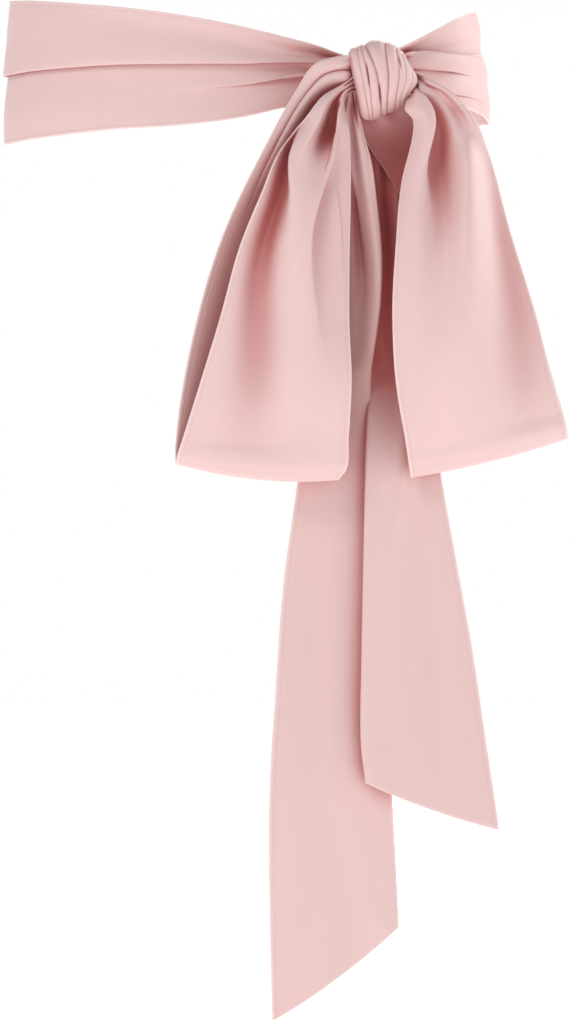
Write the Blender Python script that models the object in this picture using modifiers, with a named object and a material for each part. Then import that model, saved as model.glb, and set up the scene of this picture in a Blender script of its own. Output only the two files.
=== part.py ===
"""Sash of soft woven cloth, worn round the waist and tied in a large bow.

The sash keeps the hollow form it has round a general waist. Its origin is the
middle of that waist, +Z is up, and the bow is on the front, which faces -Y.
Lengths in the tables are millimetres, and positions run x, y, z.
"""
import math

import bpy
import numpy as np

MM = 0.001

# Driving sizes of the waist, the cloth and the bow
WAIST_HALF_WIDTH = 137.0
WAIST_HALF_DEPTH = 92.0
CLOTH_WALL = 1.2
KNOT_WALL = 1.4
KNOT_X = 74.0
BOW_TURN = 0.2126

# Squareness of the knot's section, where 2 is an ellipse
KNOT_SQUARENESS = 2.5

# Grid of each stretch: quads across the cloth, quads along it
GRIDS = {
    "waist_left": (13, 24),
    "waist_right": (11, 14),
    "waist_back": (8, 20),
    "knot": (28, 26),
    "left_loop": (17, 42),
    "right_loop": (16, 38),
    "left_tail": (9, 32),
    "right_tail": (9, 28),
}

# Waist stretches, a row for each section.
# Columns: degrees round from the front, lift off the waist at the lower edge and at the upper
# edge, lower edge z, upper edge z
WAIST_LEFT = [
    (32.0, 0.2, 0.2, -16.0, 1.0),
    (27.0, 0.3, 0.3, -16.5, 1.5),
    (22.0, 0.8, 0.8, -18.5, 4.5),
    (16.0, 1.4, 1.4, -21.0, 9.5),
    (8.0, 1.4, 1.4, -25.0, 14.5),
    (0.0, 1.2, 1.0, -29.5, 19.0),
    (-15.0, 1.0, 0.5, -34.0, 26.0),
    (-30.0, 0.8, 0.0, -35.5, 31.0),
    (-45.0, 0.5, -1.0, -37.5, 34.5),
    (-60.0, 0.0, -2.5, -39.0, 37.5),
    (-75.0, -0.4, -3.5, -40.0, 39.5),
    (-90.0, -0.6, -4.0, -38.5, 41.0),
    (-101.0, -0.4, -3.5, -34.0, 40.0),
]
WAIST_RIGHT = [
    (32.15, 0.2, 0.2, -16.0, 6.5),
    (37.0, 0.4, 0.4, -16.5, 9.0),
    (42.0, 0.8, 0.6, -18.0, 13.5),
    (50.0, 1.2, 0.5, -20.0, 20.5),
    (60.0, 1.2, -1.0, -22.0, 28.0),
    (72.0, 0.6, -5.0, -25.0, 32.5),
    (90.0, 0.2, -7.5, -29.0, 33.0),
    (101.0, 0.2, -6.0, -28.0, 32.0),
]
WAIST_BACK = [
    (101.3, 0.2, -6.0, -28.0, 32.0),
    (115.0, 0.8, -3.0, -27.5, 27.0),
    (135.0, 0.8, 0.0, -24.0, 20.5),
    (150.0, 0.8, 0.8, -18.0, 17.0),
    (165.0, 0.8, 0.8, -12.0, 18.5),
    (180.0, 0.8, 0.8, -11.5, 24.0),
    (200.0, 0.8, 0.8, -16.0, 31.0),
    (230.0, 0.6, 0.0, -22.0, 36.0),
    (246.0, 0.0, -2.0, -28.0, 38.5),
    (258.7, -0.4, -3.5, -34.0, 40.0),
]

# Knot, a row for each section from its left lip to its right lip, which close in on the loops.
# Columns: x, lean to the left at the top, swell at mid height, top z, bottom z, front y, back y
KNOT = [
    (59.8, 3.2, 0.0, 5.0, -28.5, -108.5, -93.0),
    (61.6, 3.1, 0.2, 7.8, -31.8, -111.8, -88.0),
    (67.0, 2.6, 0.8, 10.2, -32.8, -113.8, -81.6),
    (74.5, 1.8, 1.6, 12.5, -30.5, -114.5, -79.2),
    (82.0, 1.0, 3.2, 10.5, -28.0, -113.5, -78.4),
    (86.4, 0.2, 5.0, 5.5, -25.0, -111.0, -82.5),
    (88.2, 0.0, 6.0, 2.0, -22.5, -108.5, -87.0),
]

# Folds of cloth wound round the knot.
# Columns: place on the knot's row numbers, tilt in rows, width in rows, rise
KNOT_FOLDS = [
    (0.70, 0.50, 0.24, 1.8),
    (1.50, 0.55, 0.20, 1.6),
    (2.05, 0.55, 0.18, 1.8),
    (2.70, 0.45, 0.22, 1.7),
    (3.35, 0.35, 0.22, 1.9),
    (4.05, 0.25, 0.22, 1.6),
    (4.80, 0.15, 0.26, 1.7),
]

# Loops and tails, a row for each section across the cloth.
# Columns: left edge x, y, z; right edge x, y, z; bulge forward; sag of the middle.
# The y values are before the bow is turned to follow the waist.
LEFT_LOOP = [
    (64.5, -105.0, -4.0, 66.0, -92.5, -24.5, 0.0, 0.0),
    (57.0, -104.0, -11.5, 61.0, -101.0, -23.5, 1.0, 0.0),
    (50.5, -110.0, -13.5, 54.5, -105.0, -25.5, 2.0, 0.0),
    (42.5, -115.0, -18.0, 51.5, -108.0, -30.0, 3.0, 0.0),
    (33.0, -119.0, -28.5, 51.5, -110.0, -39.0, 3.0, 0.0),
    (21.5, -123.0, -49.5, 51.5, -112.0, -54.0, 4.0, 0.0),
    (12.5, -124.5, -73.0, 50.0, -114.5, -73.0, 5.0, 0.0),
    (-2.0, -124.0, -103.5, 53.0, -118.0, -104.5, 5.5, 0.0),
    (-12.5, -121.5, -140.0, 56.0, -119.5, -139.0, 5.0, 0.5),
    (-23.5, -116.5, -176.0, 57.5, -117.5, -175.0, 4.0, 1.5),
    (-33.0, -110.0, -206.0, 56.0, -112.0, -206.0, 2.0, 3.0),
    (-36.5, -106.5, -217.0, 54.5, -108.5, -224.0, 1.0, 3.6),
    (-37.0, -103.5, -220.5, 50.5, -104.0, -229.0, 0.0, 4.0),
    (-37.5, -100.0, -216.0, 54.5, -99.0, -223.5, -0.5, 3.6),
    (-36.5, -97.5, -201.0, 57.0, -96.0, -205.0, -1.0, 2.5),
    (-27.5, -94.5, -149.5, 58.5, -93.0, -158.0, -2.0, 0.0),
    (-10.0, -94.0, -92.0, 56.0, -92.0, -97.5, -1.5, 0.0),
    (10.5, -97.0, -49.5, 57.5, -93.0, -56.5, 0.0, 0.0),
    (27.5, -99.0, -18.5, 57.0, -93.5, -35.0, 0.0, 0.0),
    (38.5, -101.0, -3.0, 56.0, -92.5, -22.0, 0.0, 0.0),
    (52.5, -102.5, 1.5, 58.0, -97.5, -11.0, 0.0, 0.0),
    (66.0, -104.0, 1.5, 67.0, -90.0, -8.0, 0.0, 0.0),
]
RIGHT_LOOP = [
    (84.0, -106.0, -18.4, 84.0, -86.0, -2.0, 0.0, 0.0),
    (92.3, -104.5, -19.7, 95.0, -99.0, -7.0, 0.0, 0.0),
    (91.8, -108.0, -23.0, 101.0, -105.0, -10.0, 1.0, 0.0),
    (90.5, -110.5, -32.5, 110.0, -109.0, -15.0, 2.0, 0.0),
    (89.5, -113.0, -43.0, 121.0, -112.0, -26.5, 3.0, 0.0),
    (85.5, -116.0, -66.0, 132.5, -114.0, -49.5, 4.0, 0.0),
    (82.5, -120.5, -99.0, 144.0, -117.0, -90.5, 5.0, 0.0),
    (80.5, -121.0, -142.5, 159.0, -116.5, -139.0, 5.5, 0.0),
    (83.0, -117.0, -180.5, 168.0, -113.5, -173.5, 4.0, 0.5),
    (88.0, -111.5, -209.0, 174.0, -109.0, -192.0, 2.0, 1.0),
    (90.0, -107.5, -222.0, 176.5, -106.0, -202.0, 1.0, 1.6),
    (91.0, -103.5, -227.5, 177.0, -103.0, -206.0, 0.0, 2.0),
    (91.0, -100.0, -221.0, 176.0, -100.0, -201.0, -1.0, 1.6),
    (92.0, -98.0, -206.0, 173.5, -98.0, -190.0, -1.0, 1.0),
    (94.0, -95.5, -158.0, 161.0, -96.0, -146.5, -1.0, 0.0),
    (94.0, -95.0, -103.0, 143.5, -96.0, -91.5, 0.0, 0.0),
    (86.0, -95.0, -74.0, 130.0, -97.0, -47.5, 0.0, 0.0),
    (78.0, -95.0, -58.0, 117.0, -98.0, -26.0, 0.0, 2.0),
    (72.5, -95.5, -43.0, 104.0, -97.5, -16.5, 0.0, 4.0),
    (72.0, -95.5, -35.0, 97.0, -93.5, -17.0, 0.0, 5.0),
]
LEFT_TAIL = [
    (55.0, -88.0, -20.0, 66.4, -89.0, -32.9, 0.0, -1.0),
    (55.5, -87.5, -35.0, 67.8, -90.0, -41.5, 0.0, 2.0),
    (55.5, -86.5, -56.0, 69.0, -91.5, -56.5, 0.0, 0.0),
    (54.5, -85.5, -75.5, 71.5, -93.0, -75.5, 0.0, 0.0),
    (49.5, -85.0, -108.5, 74.5, -94.0, -108.5, 0.0, 0.0),
    (44.0, -84.5, -135.0, 73.5, -93.5, -135.0, 0.0, 0.0),
    (39.5, -84.5, -158.0, 70.3, -92.2, -158.0, 0.0, 0.0),
    (36.8, -84.5, -170.5, 68.5, -91.0, -170.0, 0.0, 0.0),
    (35.2, -85.0, -182.0, 68.6, -87.4, -182.0, 0.0, 0.0),
    (31.5, -85.0, -207.5, 70.0, -85.5, -207.0, 0.0, 0.0),
    (29.0, -85.5, -230.0, 72.0, -84.5, -230.0, 0.0, 0.0),
    (21.5, -86.0, -284.0, 73.0, -84.0, -284.0, 0.5, 0.0),
    (17.0, -86.5, -344.0, 76.0, -84.5, -344.5, 1.0, 0.0),
    (13.5, -86.0, -404.5, 80.0, -85.5, -399.5, 1.5, 0.0),
    (13.5, -85.0, -459.0, 82.5, -86.5, -443.5, 2.0, 0.0),
    (15.0, -84.5, -525.0, 84.0, -87.0, -475.0, 1.5, 3.0),
]
RIGHT_TAIL = [
    (66.9, -87.4, -32.6, 86.0, -87.0, -28.4, 0.0, 0.0),
    (64.5, -87.0, -48.0, 89.5, -88.5, -46.0, 0.0, 0.0),
    (64.5, -86.5, -86.5, 93.5, -89.5, -86.5, 0.0, 0.0),
    (65.0, -86.5, -130.5, 96.0, -90.0, -130.0, 0.0, 0.0),
    (66.0, -87.6, -155.0, 98.0, -90.5, -155.0, 0.0, 0.0),
    (68.8, -88.6, -169.5, 99.0, -91.0, -170.0, 0.0, 0.0),
    (68.75, -91.5, -179.5, 101.0, -91.0, -179.5, 0.0, 0.0),
    (67.4, -93.0, -191.0, 102.5, -91.0, -191.0, 0.0, 0.0),
    (66.5, -93.5, -207.5, 104.5, -91.0, -207.5, 0.0, 0.0),
    (66.0, -93.5, -228.0, 107.5, -91.0, -228.0, 0.5, 0.0),
    (65.0, -94.0, -273.0, 115.5, -91.5, -273.0, 1.0, 0.0),
    (64.0, -94.5, -322.0, 124.5, -91.5, -322.5, 1.5, 0.0),
    (63.5, -95.0, -371.5, 132.0, -92.0, -372.5, 1.5, 0.0),
    (66.0, -95.0, -395.0, 139.5, -93.0, -421.5, 1.0, 2.0),
]

# Creases, a row for each fold or hollow of a stretch.
# Columns: first row, last row; place across at the start, middle and end of the crease;
# spread to the left and to the right; rise at the start, middle and end
CREASES = {
    "waist_left": [
        (3.0, 12.0, 0.56, 0.52, 0.47, 0.05, 0.16, 1.2, 2.2, 1.8),
        (3.0, 7.0, 0.80, 0.78, 0.74, 0.10, 0.10, -1.6, -1.2, 0.0),
        (3.0, 7.5, 0.30, 0.28, 0.26, 0.10, 0.10, -1.4, -1.2, 0.0),
        (6.0, 12.0, 0.80, 0.82, 0.80, 0.14, 0.12, 0.0, 0.8, 0.6),
        (7.0, 12.0, 0.20, 0.22, 0.24, 0.12, 0.14, 0.0, 0.9, 0.7),
    ],
    "waist_right": [
        (3.0, 7.0, 0.75, 0.70, 0.62, 0.05, 0.12, 0.6, 1.8, 1.2),
        (3.0, 7.0, 0.42, 0.44, 0.46, 0.05, 0.12, 0.6, 1.9, 1.4),
        (3.0, 7.0, 0.18, 0.20, 0.22, 0.05, 0.10, 0.4, 1.7, 1.2),
    ],
    "waist_back": [
        (0.0, 8.0, 0.62, 0.58, 0.47, 0.08, 0.14, 1.2, 1.5, 1.8),
        (0.0, 8.0, 0.46, 0.30, 0.20, 0.10, 0.12, 1.0, 1.3, 0.7),
    ],
    "left_loop": [
        (3.0, 8.8, 0.18, 0.15, 0.34, 0.10, 0.09, -3.0, -8.0, 0.0),
        (1.5, 10.0, 0.36, 0.42, 0.62, 0.10, 0.14, 1.0, 3.5, 0.0),
        (2.6, 5.6, 0.60, 0.62, 0.60, 0.11, 0.11, -3.0, -6.5, 0.0),
        (2.0, 8.6, 0.90, 0.86, 0.82, 0.16, 0.06, 1.0, 3.6, 0.0),
        (15.0, 19.6, 0.24, 0.26, 0.28, 0.14, 0.14, 0.0, -3.0, -2.0),
    ],
    "right_loop": [
        (1.2, 7.0, 0.16, 0.16, 0.12, 0.12, 0.11, 1.0, 3.0, 0.0),
        (3.0, 6.2, 0.52, 0.46, 0.42, 0.10, 0.12, -3.0, -8.5, 0.0),
        (2.8, 4.8, 0.76, 0.78, 0.76, 0.08, 0.09, -1.5, -3.0, 0.0),
        (2.0, 8.8, 0.86, 0.78, 0.50, 0.16, 0.14, 1.5, 3.2, 0.0),
        (14.0, 18.5, 0.40, 0.45, 0.50, 0.16, 0.16, 0.0, -2.5, -1.0),
    ],
    "left_tail": [
        (1.5, 8.0, 0.80, 0.82, 0.78, 0.16, 0.12, 0.6, 1.6, 0.0),
        (1.5, 8.0, 0.45, 0.48, 0.50, 0.16, 0.16, -0.6, -1.8, 0.0),
        (10.0, 15.0, 0.28, 0.36, 0.46, 0.18, 0.18, 0.0, -2.0, -1.2),
    ],
    "right_tail": [
        (3.0, 11.5, 0.80, 0.62, 0.26, 0.16, 0.18, 0.4, 1.8, 0.0),
        (8.0, 13.0, 0.12, 0.14, 0.16, 0.10, 0.12, 0.0, 1.0, 1.4),
        (9.0, 13.0, 0.64, 0.60, 0.55, 0.18, 0.18, 0.0, -2.2, -1.4),
    ],
}

SATIN_PINK = (0.78, 0.53, 0.50, 1.0)
SATIN_ROUGHNESS = 0.42


def clear_objects():
    """Remove every object that the file starts with."""
    for thing in list(bpy.data.objects):
        bpy.data.objects.remove(thing, do_unlink=True)


def sash_cloth(name):
    """The smooth pink cloth, one material for each stretch."""
    cloth = bpy.data.materials.new(name + "_cloth")
    cloth.use_nodes = True
    shader = cloth.node_tree.nodes["Principled BSDF"]
    shader.inputs["Base Color"].default_value = SATIN_PINK
    shader.inputs["Roughness"].default_value = SATIN_ROUGHNESS
    shader.inputs["Metallic"].default_value = 0.0
    return cloth


def through_rows(table, spans, places):
    """Smooth curve through a table's rows, read at row numbers that may be fractions.

    Each row's slope is that of a parabola through it and its neighbours, over the
    distances in spans, and a cubic joins each pair of rows.
    """
    table = np.asarray(table, float)
    spans = np.asarray(spans, float)[:, None]
    step = np.diff(table, axis=0) / spans
    inner = (step[:-1] * spans[1:] + step[1:] * spans[:-1]) / (spans[1:] + spans[:-1])
    slope = np.vstack([step[:1], inner, step[-1:]])
    first = np.clip(places.astype(int), 0, len(table) - 2)
    t = (places - first)[:, None]
    span = spans[first]
    return (
        (2 * t**3 - 3 * t**2 + 1) * table[first]
        + (t**3 - 2 * t**2 + t) * span * slope[first]
        + (3 * t**2 - 2 * t**3) * table[first + 1]
        + (t**3 - t**2) * span * slope[first + 1]
    )


def eased(start, middle, end, share):
    """A value that runs from start by middle to end with a soft S between each two."""
    low = np.clip(2 * share, 0, 1)
    high = np.clip(2 * share - 1, 0, 1)
    low = low * low * (3 - 2 * low)
    high = high * high * (3 - 2 * high)
    return start + (middle - start) * low + (end - middle) * high


def crease_relief(creases, across, places):
    """Sum of soft ridges and hollows: each is a bell across the cloth that follows its line.

    Outside its rows a crease fades out over one row more.
    """
    relief = np.zeros((len(across), len(places)))
    for first, last, at_0, at_1, at_2, spread_l, spread_r, rise_0, rise_1, rise_2 in creases:
        share = np.clip((places - first) / (last - first), 0, 1)
        near = np.clip(1 - np.maximum(first - places, places - last), 0, 1)
        centre = eased(at_0, at_1, at_2, share)
        rise = eased(rise_0, rise_1, rise_2, share) * near * near * (3 - 2 * near)
        offset = across[:, None] - centre[None, :]
        spread = np.where(offset < 0, spread_l, spread_r)
        relief += rise[None, :] * np.exp(-((offset / spread) ** 2))
    return relief


def waist_stretch(table, creases, across, places):
    """Band round the waist: each section stands on the waist's ellipse, pushed out by its creases."""
    angles = np.array([row[0] for row in table])
    rows = through_rows(table, np.abs(np.diff(angles)), places)
    angle = np.radians(rows[:, 0])
    low, high = rows[:, 3], rows[:, 4]
    lift = rows[None, :, 1] + (rows[:, 2] - rows[:, 1])[None, :] * across[:, None]
    out = lift + crease_relief(creases, across, places)
    x = (WAIST_HALF_WIDTH + out) * np.sin(angle)[None, :]
    y = -(WAIST_HALF_DEPTH + out) * np.cos(angle)[None, :]
    z = low[None, :] + (high - low)[None, :] * across[:, None]
    return np.stack([x, y, z], axis=-1)


def bow_stretch(table, creases, across, places):
    """Strip of the bow: straight from edge to edge, then bulged, sagged and creased.

    The whole bow is then turned, so that depth grows with x as the waist rounds away.
    """
    rows = np.asarray(table, float)
    middle = (rows[:, 0:3] + rows[:, 3:6]) / 2
    spans = np.linalg.norm(np.diff(middle, axis=0), axis=1)
    rows = through_rows(rows, spans, places)
    left, right = rows[None, :, 0:3], rows[None, :, 3:6]
    points = left + (right - left) * across[:, None, None]
    hump = (4 * across * (1 - across))[:, None]
    points[..., 1] -= rows[None, :, 6] * hump + crease_relief(creases, across, places)
    points[..., 2] -= rows[None, :, 7] * hump
    points[..., 1] += BOW_TURN * (points[..., 0] - KNOT_X)
    return points


def knot_wrap(turns, places):
    """Wound cloth of the knot: rounded sections along x, with a ridge for each turn of cloth."""
    table = np.array(KNOT)
    rows = through_rows(table, np.linalg.norm(np.diff(table, axis=0), axis=1), places)
    x, lean, swell, top, bottom, front, back = (rows[None, :, k] for k in range(7))
    cos, sin = np.cos(turns)[:, None], np.sin(turns)[:, None]
    power = 2 / KNOT_SQUARENESS
    depth = np.sign(cos) * np.abs(cos) ** power
    height = np.sign(sin) * np.abs(sin) ** power
    fold = np.zeros((len(turns), len(places)))
    for place, tilt, width, rise in KNOT_FOLDS:
        centre = place - tilt * np.sin(turns)[:, None]
        fold += rise * np.exp(-(((places[None, :] - centre) / width) ** 2))
    fold *= np.clip(np.minimum(places, places[-1] - places), 0, 1)[None, :]
    half_depth, half_height = (back - front) / 2, (top - bottom) / 2
    y = (front + back) / 2 - (half_depth + fold * (depth > 0)) * depth
    z = (top + bottom) / 2 + (half_height - 1.0 + fold * 0.8) * height
    x = x - lean * height + swell * (1 - height**2) ** 2
    y = y + BOW_TURN * (x - KNOT_X)
    return np.stack([x, y, z], axis=-1)


def cloth_wall(name, points, wall, closed, collection):
    """Object of one stretch: a grid of quads over the points, made a wall with Solidify."""
    across, along = points.shape[:2]
    corner = np.arange(across * along).reshape(across, along)
    if closed:
        corner = np.vstack([corner, corner[:1]])
    quads = np.stack([corner[:-1, :-1], corner[1:, :-1], corner[1:, 1:], corner[:-1, 1:]], axis=-1)
    mesh = bpy.data.meshes.new(name)
    mesh.from_pydata((points.reshape(-1, 3) * MM).tolist(), [], quads.reshape(-1, 4).tolist())
    mesh.materials.append(sash_cloth(name))
    mesh.shade_smooth()
    stretch = bpy.data.objects.new(name, mesh)
    collection.objects.link(stretch)
    shell = stretch.modifiers.new("wall", "SOLIDIFY")
    shell.thickness = wall * MM
    shell.offset = 0.0
    return stretch


def build_sash():
    """All stretches of the sash in one collection."""
    collection = bpy.data.collections.new("sash")
    bpy.context.scene.collection.children.link(collection)
    tables = {
        "waist_left": (waist_stretch, WAIST_LEFT),
        "waist_right": (waist_stretch, WAIST_RIGHT),
        "waist_back": (waist_stretch, WAIST_BACK),
        "left_loop": (bow_stretch, LEFT_LOOP),
        "right_loop": (bow_stretch, RIGHT_LOOP),
        "left_tail": (bow_stretch, LEFT_TAIL),
        "right_tail": (bow_stretch, RIGHT_TAIL),
    }
    for name, (shape, table) in tables.items():
        wide, long = GRIDS[name]
        across = np.linspace(0, 1, wide + 1)
        places = np.linspace(0, len(table) - 1, long + 1)
        cloth_wall(name, shape(table, CREASES[name], across, places), CLOTH_WALL, False, collection)
    around, long = GRIDS["knot"]
    turns = np.arange(around) * 2 * math.pi / around
    places = np.linspace(0, len(KNOT) - 1, long + 1)
    cloth_wall("knot", knot_wrap(turns, places), KNOT_WALL, True, collection)


clear_objects()
build_sash()
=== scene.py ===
"""Looks of a soft sash worn round a waist and tied in a large bow.

Every stretch of cloth is worked out from a table of its sections, then pushed into
swells and tucked into laps that follow the photograph. Lengths in the tables are
millimetres; the finished meshes are in metres.
"""
import math

import bpy
import numpy as np
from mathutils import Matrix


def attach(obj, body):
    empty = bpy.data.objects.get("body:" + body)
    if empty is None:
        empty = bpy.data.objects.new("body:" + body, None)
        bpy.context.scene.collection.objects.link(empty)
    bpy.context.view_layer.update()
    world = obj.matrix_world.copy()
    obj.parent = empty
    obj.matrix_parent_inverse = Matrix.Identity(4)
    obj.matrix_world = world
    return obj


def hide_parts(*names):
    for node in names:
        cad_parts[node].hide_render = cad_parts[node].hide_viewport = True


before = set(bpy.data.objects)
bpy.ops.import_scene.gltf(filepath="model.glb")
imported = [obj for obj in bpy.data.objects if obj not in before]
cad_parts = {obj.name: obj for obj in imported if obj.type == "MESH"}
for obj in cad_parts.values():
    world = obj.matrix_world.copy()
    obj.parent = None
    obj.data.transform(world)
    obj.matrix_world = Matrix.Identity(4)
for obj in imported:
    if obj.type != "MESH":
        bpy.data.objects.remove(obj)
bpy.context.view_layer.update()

MM = 0.001
WAIST_HALF_WIDTH = 137.0
WAIST_HALF_DEPTH = 92.0

# The bow hangs from the knot, turned to follow the waist: millimetres back for each one in x
KNOT_X = 74.0
BOW_TURN = 0.2126

# Powers of the ovals, where 2 is an ellipse and more is squarer
KNOT_SQUARENESS = 2.5
ROLL_SQUARENESS = 2.4

# Knot: the share of a roll's height that lies below the plain section; how much of the half
# height a slit fades over at its ends; rows that the rolls fade over at the lips; how far inside
# its table's height the knot lies; the share of the relief that shows at its top and bottom
ROLL_SUNK = 0.9
SLIT_FADE = 0.2
LIP_FADE = 0.4
KNOT_INSET = 0.4
ROLL_UPWARD_SHARE = 0.7

# The sash is sewn double, so its edge is a soft roll this thick, swept in this many steps
CLOTH_THICKNESS = 0.9
RIM_STEPS = 4

# Grid of each stretch: quads across the cloth, quads along it
GRIDS = {
    "waist_left": (150, 200),
    "waist_right": (140, 110),
    "waist_back": (120, 200),
    "knot": (200, 300),
    "left_loop": (180, 300),
    "right_loop": (160, 280),
    "left_tail": (130, 240),
    "right_tail": (130, 220),
}

# Waist stretches, a row for each section.
# Columns: degrees round from the front, lift off the waist at the lower edge and at the upper
# edge, lower edge z, upper edge z
WAIST_LEFT = [
    (32.0, 0.2, 0.2, -16.0, 1.0),
    (27.0, 0.3, 0.3, -16.5, 1.5),
    (22.0, 0.8, 0.8, -18.5, 4.5),
    (16.0, 1.4, 1.4, -21.0, 9.5),
    (8.0, 1.4, 1.4, -25.0, 14.5),
    (0.0, 1.2, 1.0, -29.5, 19.0),
    (-15.0, 1.0, 0.5, -34.0, 26.0),
    (-30.0, 0.8, 0.0, -35.5, 31.0),
    (-45.0, 0.5, -1.0, -37.5, 34.5),
    (-60.0, 0.0, -2.5, -39.0, 37.5),
    (-75.0, -0.4, -3.5, -40.0, 39.5),
    (-90.0, -0.6, -4.0, -38.5, 41.0),
    (-101.1, -0.4, -3.5, -34.0, 40.0),
]
WAIST_RIGHT = [
    (32.1, 0.2, 0.2, -16.0, 6.5),
    (37.0, 0.4, 0.4, -16.5, 9.0),
    (42.0, 0.8, 0.6, -18.0, 13.5),
    (50.0, 1.2, 0.5, -20.0, 20.5),
    (60.0, 1.2, -1.0, -22.0, 28.0),
    (72.0, 0.6, -5.0, -25.0, 32.5),
    (90.0, 0.2, -7.5, -29.0, 33.0),
    (101.1, 0.2, -6.0, -28.0, 32.0),
]
WAIST_BACK = [
    (101.2, 0.2, -6.0, -28.0, 32.0),
    (115.0, 0.8, -3.0, -27.5, 27.0),
    (135.0, 0.8, 0.0, -24.0, 20.5),
    (150.0, 0.8, 0.8, -18.0, 17.0),
    (165.0, 0.8, 0.8, -12.0, 18.5),
    (180.0, 0.8, 0.8, -11.5, 24.0),
    (200.0, 0.8, 0.8, -16.0, 31.0),
    (230.0, 0.6, 0.0, -22.0, 36.0),
    (246.0, 0.0, -2.0, -28.0, 38.5),
    (258.8, -0.4, -3.5, -34.0, 40.0),
]

# Knot, a row for each section from its left lip to its right lip, which close in on the loops.
# Columns: x, lean to the left at the top, swell at mid height, top z, bottom z, front y, back y
KNOT = [
    (59.8, 3.2, 0.0, 4.0, -28.5, -108.5, -93.0),
    (61.6, 3.1, 0.2, 6.6, -31.8, -111.8, -88.0),
    (67.0, 2.6, 0.8, 9.0, -32.2, -113.8, -81.6),
    (74.5, 1.8, 1.6, 12.0, -29.0, -114.5, -79.2),
    (82.0, 1.0, 2.6, 9.6, -26.2, -113.5, -78.4),
    (86.4, 0.2, 4.2, 5.0, -24.2, -111.0, -82.5),
    (88.2, 0.0, 5.4, 1.4, -22.4, -108.5, -87.0),
]

# Loops and tails, a row for each section across the cloth.
# Columns: left edge x, y, z; right edge x, y, z; bulge forward; sag of the middle.
# The y values are before the bow is turned to follow the waist.
LEFT_LOOP = [
    (64.5, -105.0, -4.0, 66.0, -92.5, -17.0, 0.0, 0.0),
    (57.0, -104.0, -11.0, 58.5, -101.0, -17.0, 1.0, 0.0),
    (50.5, -110.0, -15.5, 53.8, -105.0, -22.0, 2.0, 0.0),
    (42.5, -115.0, -20.5, 54.2, -106.0, -28.5, 3.0, 0.0),
    (32.5, -119.0, -33.5, 56.5, -107.0, -39.0, 3.0, 0.0),
    (19.5, -123.0, -49.5, 57.5, -108.0, -54.0, 4.0, 0.0),
    (9.8, -124.5, -73.0, 57.5, -109.0, -73.0, 5.0, 0.0),
    (-2.5, -124.0, -103.5, 57.0, -111.5, -104.5, 5.5, 0.0),
    (-12.5, -121.5, -140.0, 56.5, -115.5, -139.0, 5.0, 0.5),
    (-23.5, -116.5, -176.0, 57.5, -117.5, -175.0, 4.0, 1.5),
    (-33.0, -110.0, -206.0, 56.0, -112.0, -206.0, 2.0, 3.0),
    (-36.5, -106.5, -217.0, 54.5, -108.5, -224.0, 1.0, 3.6),
    (-37.0, -103.5, -220.5, 50.5, -104.0, -229.0, 0.0, 4.0),
    (-37.5, -100.0, -216.0, 54.5, -99.0, -223.5, -0.5, 3.6),
    (-36.5, -97.5, -201.0, 55.0, -96.0, -205.0, -1.0, 2.5),
    (-27.5, -94.5, -149.5, 54.0, -93.0, -158.0, -2.0, 0.0),
    (-10.0, -94.0, -92.0, 52.5, -92.0, -97.5, -1.5, 0.0),
    (10.5, -97.0, -49.5, 53.0, -93.0, -54.5, 0.0, 0.0),
    (27.5, -99.0, -18.5, 53.5, -93.5, -33.0, 0.0, 0.0),
    (38.5, -101.0, -3.0, 56.0, -92.5, -22.0, 0.0, 0.0),
    (52.5, -102.5, 1.5, 58.0, -97.5, -11.0, 0.0, 0.0),
    (66.0, -104.0, 1.5, 67.0, -90.0, -8.0, 0.0, 0.0),
]
RIGHT_LOOP = [
    (84.0, -106.0, -18.4, 84.0, -86.0, -2.0, 0.0, 0.0),
    (91.0, -105.5, -19.2, 95.0, -99.0, -7.0, 0.0, 0.0),
    (88.6, -108.4, -22.4, 101.0, -105.0, -10.0, 1.0, 0.0),
    (87.4, -110.5, -26.4, 110.0, -109.0, -15.0, 2.0, 0.0),
    (91.6, -113.0, -33.0, 121.0, -112.0, -26.5, 3.0, 0.0),
    (85.5, -116.0, -66.0, 132.5, -114.0, -49.5, 4.0, 0.0),
    (82.5, -120.5, -99.0, 144.0, -117.0, -90.5, 5.0, 0.0),
    (80.5, -121.0, -142.5, 159.0, -116.5, -139.0, 5.5, 0.0),
    (83.0, -117.0, -180.5, 168.0, -113.5, -173.5, 4.0, 0.5),
    (88.0, -111.5, -209.0, 174.0, -109.0, -192.0, 2.0, 1.0),
    (90.0, -107.5, -222.0, 176.5, -106.0, -202.0, 1.0, 1.6),
    (91.0, -103.5, -227.5, 177.0, -103.0, -206.0, 0.0, 2.0),
    (91.0, -100.0, -221.0, 176.0, -100.0, -201.0, -1.0, 1.6),
    (92.0, -98.0, -206.0, 173.5, -98.0, -190.0, -1.0, 1.0),
    (94.0, -95.5, -158.0, 161.0, -96.0, -146.5, -1.0, 0.0),
    (94.0, -95.0, -103.0, 143.5, -96.0, -91.5, 0.0, 0.0),
    (86.0, -95.0, -74.0, 130.0, -97.0, -47.5, 0.0, 0.0),
    (76.5, -95.0, -58.0, 117.0, -98.0, -26.0, 0.0, 1.0),
    (67.0, -94.0, -43.5, 104.0, -97.5, -16.5, 0.0, 2.0),
    (61.5, -92.0, -30.6, 95.0, -93.5, -15.5, 0.0, 2.0),
]
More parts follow.
